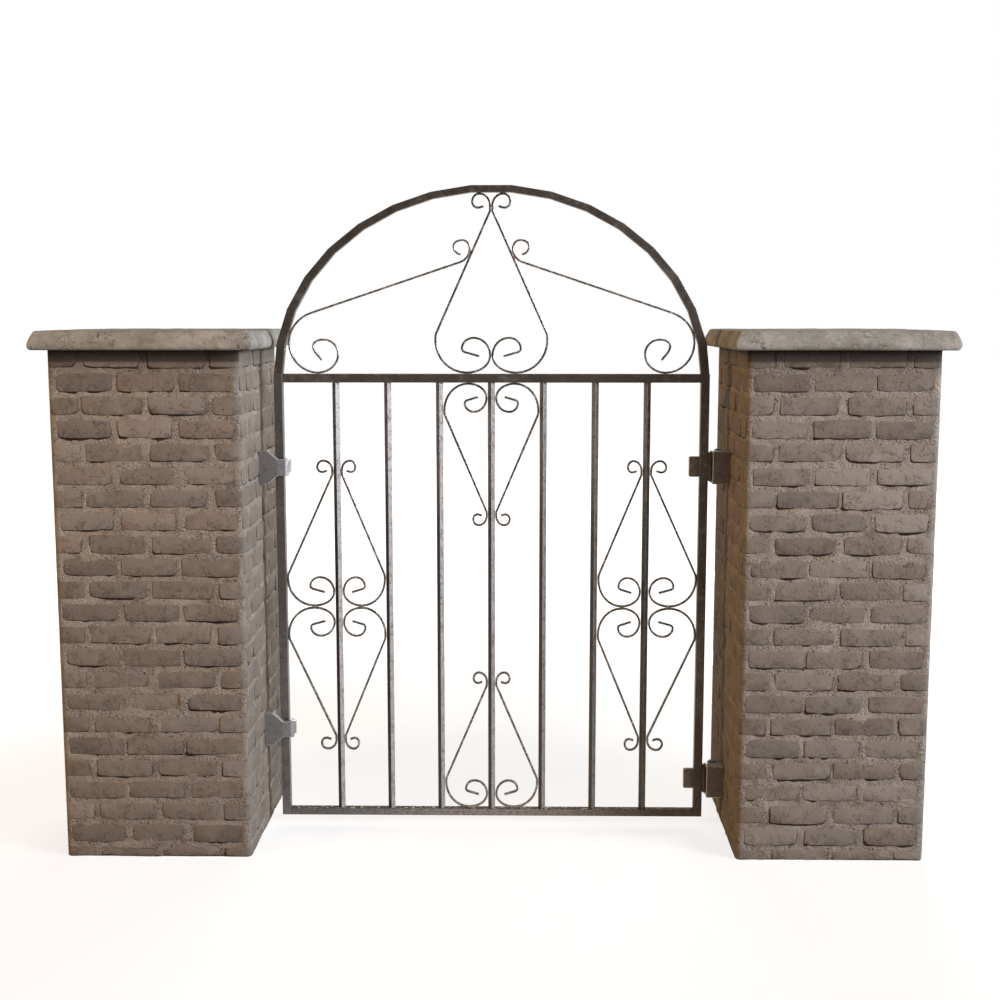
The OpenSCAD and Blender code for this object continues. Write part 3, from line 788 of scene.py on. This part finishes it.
def shapeBrick(brick, wrap, verts, layers):
    across, up, ring, tone, hue, rimShade = layers
    count, rows, seed = pierBuild["columns"], pierBuild["rows"], brick["seed"]
    sine, cosine, sink = pierBuild["roundSine"], pierBuild["roundCosine"], pierBuild["cornerSink"]
    last = len(pierBuild["ringOut"]) - 1
    columns = columnPlaces(brick, wrap)
    middle = (brick["s0"] + brick["s1"]) / 2
    for vert in verts:
        column, row, k = round(vert[across] * count), round(vert[up] * rows), round(vert[ring])
        left, right, low, high = column == 0, column == count, row == 0, row == rows
        s, z = columns[column], brick["z0"] + (brick["z1"] - brick["z0"]) * vert[up]
        outS, outZ = float(right) - float(left), float(high) - float(low)
        # corners are worn round, the lower ones more
        fromEnd = min(column, count - column)
        if fromEnd < 2 and (low or high):
            far = 2 * column > count
            worn = brick["worn"][(0 if low else 2) + far]
            way = 1.0 if far else -1.0
            if fromEnd:
                s = brick["s1" if far else "s0"] - way * worn * sine
                z -= outZ * worn * (1 - cosine)
                outS, outZ = way * sine, outZ * cosine
            else:
                s -= way * worn * (1 - cosine)
                z -= outZ * worn * sine
                outS, outZ = way * cosine, outZ * sine
        grow = pierBuild["ringOut"][k] + ripple(s, z, seed, *pierBuild["wobble"])
        if k == last:
            grow += creviceAt(brick, wrap, s, z, low, left, right)
        s += outS * grow
        z += outZ * grow + brick["tilt"] * (s - middle)
        # faces and edges lie flush at the corners, so that the pier keeps a straight outline
        free = wrap.offCorner(s)
        out = pierBuild["ringIn"][k] * (1.0 if k == last else sink + (1 - sink) * free)
        out += brick["out"] * free
        if k == 0:
            out += (ripple(s, z, seed, pierBuild["bulge"]) - pierBuild["rimIn"]) * free
        vert.co = wrap.point(s, out, max(0.0, z))
        vert[tone], vert[hue] = brick["tone"], brick["hue"]
        # painted shade at the rims, strongest along the bottom edge and weakest along the top
        side = "lowShade" if low else "endShade" if left or right else "topShade"
        share, base = pierBuild["ringShade"][k]
        vert[rimShade] = share * pierBuild[side] + base


def brickPiece(name, wrap, bricks, template):
    bm = bmesh.new()
    names = ("across", "up", "ring", "tone", "hue", "rimShade")
    for layer in names:
        bm.verts.layers.float.new(layer)
    done = 0
    for brick in bricks:
        bm.from_mesh(template)
        bm.verts.ensure_lookup_table()
        layers = [bm.verts.layers.float[layer] for layer in names]
        shapeBrick(brick, wrap, [bm.verts[i] for i in range(done, len(bm.verts))], layers)
        done = len(bm.verts)
    bmesh.ops.recalc_face_normals(bm, faces=bm.faces)
    placePiece(bm, name, brickFace, "piers")


# mortar: one skin round the pier, sunk behind the bricks; its rows bunch round each bed joint
mortarBuild = {
    "step": 0.0066, "level": -0.0016, "cornerLevel": 0.0001, "buried": -0.0085,
    "buriedAt": (0.0012, 0.008), "lumps": ((0.0016, 0.035, 0), (0.0011, 0.012, 5)),
    "smear": 0.003, "smearWave": (1.0, 0.085, 9), "smearAt": (0.12, 0.42), "recess": 0.0019,
    "lap": 0.0035, "lapWave": (0.004, 0.04, 3),
    "rows": (0.0, 0.06, 0.125, 0.185, 0.235, 0.36, 0.62, 0.86), "footRows": (0.0, 0.3, 0.6, 0.85),
    "baseRound": 0.008, "baseIn": 0.002, "merge": 0.00002,
}


def mortarLevel(s, z, wrap, byCourse, pitch, seed):
    build, footing = mortarBuild, pierBuild["footing"]
    course = min(pierBuild["courses"] - 1, math.floor((z - footing) / pitch))
    inside = -1.0
    for brick in byCourse[course]:
        span = brick["s1"] - brick["s0"]
        t = (s - brick["s0"]) % wrap.length
        if t < span:
            lap = build["lap"] + ripple(s, z, seed, build["lapWave"])    # over the top edge
            inside = min(t, span - t, z - brick["z0"], brick["z1"] - z - lap)
            break
    smear = blendStep(*build["smearAt"], ripple(s, z, seed, build["smearWave"]))
    level = build["level"] + ripple(s, z, seed, *build["lumps"]) + build["smear"] * smear
    rise = (z - footing - course * pitch) / pierBuild["joint"]
    if rise < 1.0:
        level -= build["recess"] * rise
    level += (build["cornerLevel"] - level) * (1 - wrap.offCorner(s))
    return level + (build["buried"] - level) * blendStep(*build["buriedAt"], inside)


def mortarPiece(name, wrap, bricks, height, seed):
    footing, courses = pierBuild["footing"], pierBuild["courses"]
    pitch = (height - footing) / courses
    byCourse = {c: [b for b in bricks if b["course"] == c] for c in range(-1, courses)}
    rows = [footing * share for share in mortarBuild["footRows"]]
    rows += [footing + (c + share) * pitch for c in range(courses) for share in mortarBuild["rows"]]
    rows.append(height)
    last, columns = len(rows) - 1, int(wrap.length / mortarBuild["step"])
    bm = bmesh.new()
    bmesh.ops.create_grid(bm, x_segments=columns, y_segments=last, size=0.5)
    for vert in bm.verts:
        s = round((vert.co.x + 0.5) * columns) % columns / columns * wrap.length
        z = rows[round((vert.co.y + 0.5) * last)]
        out = mortarLevel(s, z, wrap, byCourse, pitch, seed)
        if z < mortarBuild["baseRound"]:
            out -= mortarBuild["baseIn"] * (1 - z / mortarBuild["baseRound"]) ** 2
        vert.co = wrap.point(s, out, z)
    bmesh.ops.remove_doubles(bm, verts=bm.verts, dist=mortarBuild["merge"])
    bmesh.ops.holes_fill(bm, edges=rims(bm), sides=0)
    bmesh.ops.recalc_face_normals(bm, faces=bm.faces)
    print(name, len(bm.faces), "faces")
    return placePiece(bm, name, mortarJoint, "piers")


template = brickTemplate()
for side, (seed, toneMean) in pierBuild["sides"].items():
    low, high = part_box(side + "_pier")
    height = high.z - low.z
    wrap = Wrap(low, high, pierBuild["arris"])
    bricks = layCourses(wrap, height, random.Random(seed), toneMean)
    brickPiece(side + "PierBricks", wrap, bricks, template)
    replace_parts(mortarPiece(side + "PierMortar", wrap, bricks, height, seed), side + "_pier")
bpy.data.meshes.remove(template)
print("piers laid")

# cap slabs: weathered stone with a soft sloping edge and chips
capBuild = {
    "seeds": {"left": 5, "right": 9}, "cuts": 46, "rise": 5,
    "slopeIn": 0.0184, "slopeAt": (0.2, 1.25), "footRound": 0.004, "footRun": 0.2,
    "topRound": 0.0025, "topRun": 0.025, "crown": 0.0012, "crownRun": 0.1, "topLean": 0.6,
    "waves": ((0.0011, 0.07), (0.0008, 0.018)), "setIn": 0.0012,
    "chips": 30, "chipReach": (0.006, 0.018), "chipPull": 0.55,
}
cubeHalf, cubeEdge = 0.5, 0.499


def capChips(rng, size, middle):
    chips = []
    for k in range(capBuild["chips"]):
        along = rng.uniform(-cubeHalf, cubeHalf)
        face = rng.choice(((0, -1), (0, 1), (1, 0), (-1, 0)))
        x, y = (way * cubeHalf if way else along for way in face)
        spot = Vector((x, y, rng.choice((-cubeHalf, cubeHalf, cubeHalf)))) * size + middle
        chips.append((spot, rng.uniform(*capBuild["chipReach"])))
    return chips


def capPiece(side, seed):
    low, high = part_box(side + "_cap")
    size, middle = high - low, (low + high) / 2
    bm = bmesh.new()
    bmesh.ops.create_cube(bm, size=1.0)
    for axis, cuts in ((2, capBuild["rise"]), (0, capBuild["cuts"]), (1, capBuild["cuts"])):
        runs = [e for e in bm.edges if abs((e.verts[0].co - e.verts[1].co)[axis]) > cubeHalf]
        bmesh.ops.subdivide_edges(bm, edges=runs, cuts=cuts, use_grid_fill=True)
    chips = capChips(random.Random(seed), size, middle)
    for vert in bm.verts:
        t, onTop = vert.co.z + cubeHalf, vert.co.z > cubeEdge
        inset = capBuild["slopeIn"] * blendStep(*capBuild["slopeAt"], t)
        inset += capBuild["footRound"] * max(0.0, 1 - t / capBuild["footRun"]) ** 2
        x = vert.co.x * (size.x - 2 * inset)
        y = vert.co.y * (size.y - 2 * inset)
        z = vert.co.z * size.z
        if onTop:
            gap = min(size.x / 2 - abs(x), size.y / 2 - abs(y))
            z -= capBuild["crown"] * (1 - blendStep(0.0, capBuild["crownRun"], gap))
            z -= capBuild["topRound"] * max(0.0, 1 - gap / capBuild["topRun"]) ** 2
        spot = Vector((x, y, z)) + middle
        x, y, z = spot
        push = sum(tall * wave(x, y, z + seed, wide) for tall, wide in capBuild["waves"])
        lean = [c if abs(c) > cubeEdge else 0 for c in vert.co.xy]
        normal = Vector((*lean, capBuild["topLean"] if onTop else 0))
        if normal.length > 0:
            spot += normal.normalized() * (push - capBuild["setIn"])
        for chip, reach in chips:
            near = (spot - chip).length
            if near < reach:
                spot += (middle - spot).normalized() * (reach - near) * capBuild["chipPull"]
        spot.z = max(spot.z, low.z)
        vert.co = spot
    bmesh.ops.recalc_face_normals(bm, faces=bm.faces)
    piece = placePiece(bm, side + "CapSlab", capStone, "piers")
    smoothing = piece.modifiers.new("soften", "SUBSURF")
    smoothing.levels = smoothing.render_levels = 1
    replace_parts(piece, side + "_cap")


for side, seed in capBuild["seeds"].items():
    capPiece(side, seed)
print("caps cut")

# iron: each bar, scroll and bracket softened along its arrises
ironBuild = {
    "kinds": {      # bevel, its segments, finish and slot
        "frame": (0.0016, 2, "frame", "frame_iron"),
        "latch": (0.0016, 2, "latch", "frame_iron"),
        "bar": (0.0011, 2, "bar", "frame_iron"),
        "scroll": (0.0019, 2, "scroll", "scroll_iron"),
        "stop": (0.0018, 3, "stop", "bracket_iron"),
        "hinge": (0.0024, 3, "hinge", "bracket_iron"),
        "pin": (0.0009, 2, "hinge", "bracket_iron"),
    },
    "merge": 0.00001, "flatTo": math.radians(0.5), "sharpFrom": math.radians(30),
    "longFrom": 0.1, "cutFrom": 0.06, "cutStep": 0.03, "shadedSideFrom": 0.0003,
    "weldNear": 0.0012, "weldApart": 0.03, "weldTint": 0.022,
}


def ironKind(node):
    if "scroll" in node:
        return "scroll"
    if node.startswith("bar_"):
        return "bar"
    if node.endswith("_pin"):
        return "pin"
    if "bracket" in node or "strap" in node:
        return "hinge" if "hinge" in node else "stop"
    return "latch" if node == "latch_stile" else "frame"


def mergedCopy(node):
    bm = bmesh.new()
    bm.from_mesh(nodes[node].data)
    bmesh.ops.remove_doubles(bm, verts=bm.verts, dist=ironBuild["merge"])
    return bm


leafNodes = [n for n in nodes if nodes[n]["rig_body"] == "gate_leaf"]
leafIron = [n for n in leafNodes if ironKind(n) not in ("stop", "hinge")]


def weldSpots():
    trees = {}
    for node in leafIron:
        bm = mergedCopy(node)
        trees[node] = BVHTree.FromBMesh(bm)
        bm.free()
    spots = []
    for node in leafIron:
        if ironKind(node) != "scroll":
            continue
        others = [trees[other] for other in leafIron if other != node]
        for vert in nodes[node].data.vertices:
            for other in others:
                near = other.find_nearest(vert.co, ironBuild["weldNear"])[0]
                if near is None:
                    continue
                spot = (near + vert.co) / 2
                spot.y = 0.0
                if all((spot - kept).length > ironBuild["weldApart"] for kept in spots):
                    spots.append(spot)
    return spots


welds = weldSpots()
print("weld spots,", len(welds))


# long faces are cut across, so that they can carry the tint of the welds
def cutLengths(bm):
    step = ironBuild["cutStep"]
    if max(e.calc_length() for e in bm.edges) <= ironBuild["longFrom"]:
        return
    runs = [e for e in bm.edges if e.calc_length() > ironBuild["cutFrom"]]
    for run in sorted(set(int(e.calc_length() / step) for e in runs)):
        same = [e for e in runs if e.is_valid and int(e.calc_length() / step) == run]
        bmesh.ops.subdivide_edges(bm, edges=same, cuts=max(1, run), use_grid_fill=True)


def ironPiece(node):
    kind = ironKind(node)
    bevel, segments, finish, slotName = ironBuild["kinds"][kind]
    bm = mergedCopy(node)
    bmesh.ops.dissolve_limit(bm, angle_limit=ironBuild["flatTo"], verts=bm.verts, edges=bm.edges)
    edge, weld, shadedSide = (bm.verts.layers.float.new(n) for n in ("edge", "weld", "shadedSide"))
    sharpFrom = ironBuild["sharpFrom"]
    sharp = [e for e in bm.edges if e.is_manifold and e.calc_face_angle(0.0) > sharpFrom]
    bevelled = bmesh.ops.bevel(
        bm, geom=sharp, offset=bevel, segments=segments, profile=0.5, affect="EDGES",
        material=-1, clamp_overlap=kind not in ("stop", "hinge"),
    )
    rounded = set(bevelled["faces"])
    for vert in bevelled["verts"]:
        if all(face in rounded for face in vert.link_faces):
            vert[edge] = 1.0
    cutLengths(bm)
    if kind in ("frame", "latch", "bar", "scroll"):
        for vert in bm.verts:
            for spot in welds:
                near = 1 - (vert.co - spot).length / ironBuild["weldTint"]
                vert[weld] = max(vert[weld], near)
    # the left half of each bar is marked for its painted shade
    if kind == "bar":
        low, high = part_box(node)
        middle = (low.x + high.x) / 2
        for vert in bm.verts:
            vert[shadedSide] = float(vert.co.x < middle - ironBuild["shadedSideFrom"])
    body, smooth = nodes[node]["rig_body"], kind == "scroll"
    piece = placePiece(bm, "worn_" + node, irons[finish], body, smooth)
    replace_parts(piece, node)


for node in sorted(nodes):
    if "pier" not in node and "cap" not in node:
        ironPiece(node)
print("iron softened")

# weld beads where the scrolls meet the bars and each other
beadBuild = {
    "seed": 12, "size": Vector((0.0021, 0.001456, 0.003596)), "out": 0.0016,
    "grow": (0.75, 1.1), "lump": 0.25, "lumpSize": 0.7, "lumpShift": 40,
}
beadRng = random.Random(beadBuild["seed"])
bm = bmesh.new()
weldLayer = bm.verts.layers.float.new("weld")
for spot in welds:
    for facing in (-1, 1):
        made = bmesh.ops.create_uvsphere(bm, u_segments=8, v_segments=5, radius=1.0)["verts"]
        grow = beadRng.uniform(*beadBuild["grow"])
        for vert in made:
            x, y, z = vert.co
            lump = wave(x, y, z + spot.x * beadBuild["lumpShift"], beadBuild["lumpSize"])
            vert.co = vert.co * beadBuild["size"] * grow * (1 + beadBuild["lump"] * lump)
            vert.co += spot + Vector((0, facing * beadBuild["out"], 0))
            vert[weldLayer] = 1.0
placePiece(bm, "weldBeads", irons["scroll"], "gate_leaf")
print("welds run")

# camera at the photograph's place
camera = bpy.data.objects.new("camera", bpy.data.cameras.new("camera"))
camera.data.lens, camera.data.sensor_width = 50.0, 36.0
camera.location = (0.0726, -3.8395, 1.4459)
camera.rotation_euler = (math.radians(82.468), 0, math.radians(0.862))
scene.collection.objects.link(camera)
scene.camera = camera

# light: a cool key on the right and a broad one round it, warm fill on the left, a soft one behind
lampBuild = {       # place, aim, size, power, colour, and whether mirrors show it
    "key": ((10.6, -5.6, 4.3), (0.0, 0.0, 0.7), (4.0, 4.0), 1300.0, (0.81, 0.88, 1.04), True),
    "softKey": ((11.5, -5.2, 4.6), (0.0, 0.0, 0.7), (15.0, 6.0), 1550.0, (0.81, 0.88, 1.04), True),
    "fill": ((-7.2, -4.3, 4.3), (0.2, 0.0, 0.7), (2.4, 2.4), 430.0, (1.0, 0.61, 0.28), False),
    "back": ((1.5, 9.0, 5.0), (0.0, 0.0, 0.7), (5.0, 5.0), 750.0, (1.0, 0.96, 0.9), False),
}
for name, (place, aim, size, power, colour, mirrored) in lampBuild.items():
    lamp = bpy.data.lights.new(name, "AREA")
    lamp.shape = "RECTANGLE"
    lamp.size, lamp.size_y = size
    lamp.energy, lamp.color = power, colour
    stand = bpy.data.objects.new(name, lamp)
    stand.location = place
    toward = Vector(aim) - Vector(place)
    stand.rotation_euler = toward.to_track_quat("-Z", "Y").to_euler()
    stand.visible_glossy = mirrored
    scene.collection.objects.link(stand)

# white behind and above for the camera and for mirrors, a dim glow in front
skyBuild = {
    "light": (0.03, 0.027, 0.024), "frontGlow": (0.13, 0.1, 0.075),
    "behindAt": (-0.25, 0.5), "aboveAt": (0.45, 0.9, 0.0, 0.85),
}
world = bpy.data.worlds.new("studio")
scene.world = world
world.use_nodes = True
tree = world.node_tree
tree.nodes.clear()
straight, seen = raysSeen(tree)
heading = axes(tree, addNode(tree, "TexCoord").outputs["Generated"])
behind = ramp(tree, heading[1], *skyBuild["behindAt"])
above = ramp(tree, heading[2], *skyBuild["aboveAt"])
white = larger(tree, behind, above, straight)
backdrop = mix(tree, skyBuild["frontGlow"], (1.0, 1.0, 1.0), white)
sky = mix(tree, skyBuild["light"], backdrop, seen)
glow = addNode(tree, "Background", {"Color": sky, "Strength": 1.0}).outputs[0]
addNode(tree, "OutputWorld", {"Surface": glow})

# pale floor: keeps the shadow, melts into the white behind, dimmer in front in mirrors
floorBuild = {
    "half": 40.0, "colour": (0.28, 0.255, 0.23), "lift": 0.79, "meltAt": (1.3, 2.6),
    "dimAt": (-1.2, 1.2, 0.56, 0.76), "dimDepth": (0.6, -0.6),
}
bm = bmesh.new()
bmesh.ops.create_grid(bm, x_segments=1, y_segments=1, size=floorBuild["half"])
floorMesh = bpy.data.meshes.new("studioFloor")
bm.to_mesh(floorMesh)
bm.free()
floor = bpy.data.objects.new("studioFloor", floorMesh)
scene.collection.objects.link(floor)
material, tree, shader, place = newMaterial("studioFloor")
straight, seen = raysSeen(tree)
reach = addNode(tree, "VectorMath", {0: place}, operation="LENGTH").outputs["Value"]
melt = ramp(tree, reach, *floorBuild["meltAt"])
lift = ramp(tree, melt, 0.0, 1.0, floorBuild["lift"], 1.0)
across, depth = axes(tree, place)[:2]
dim = times(tree, minus(tree, seen, straight), ramp(tree, across, *floorBuild["dimAt"]))
dim = times(tree, dim, ramp(tree, depth, *floorBuild["dimDepth"]))
lift = times(tree, lift, minus(tree, 1.0, dim))
feed(tree, shader, {
    "Base Color": floorBuild["colour"], "Roughness": 0.9, "Specular IOR Level": 0.0,
    "Emission Color": (1.0, 1.0, 1.0), "Emission Strength": times(tree, seen, lift),
})
floorMesh.materials.append(material)
print("studio set")
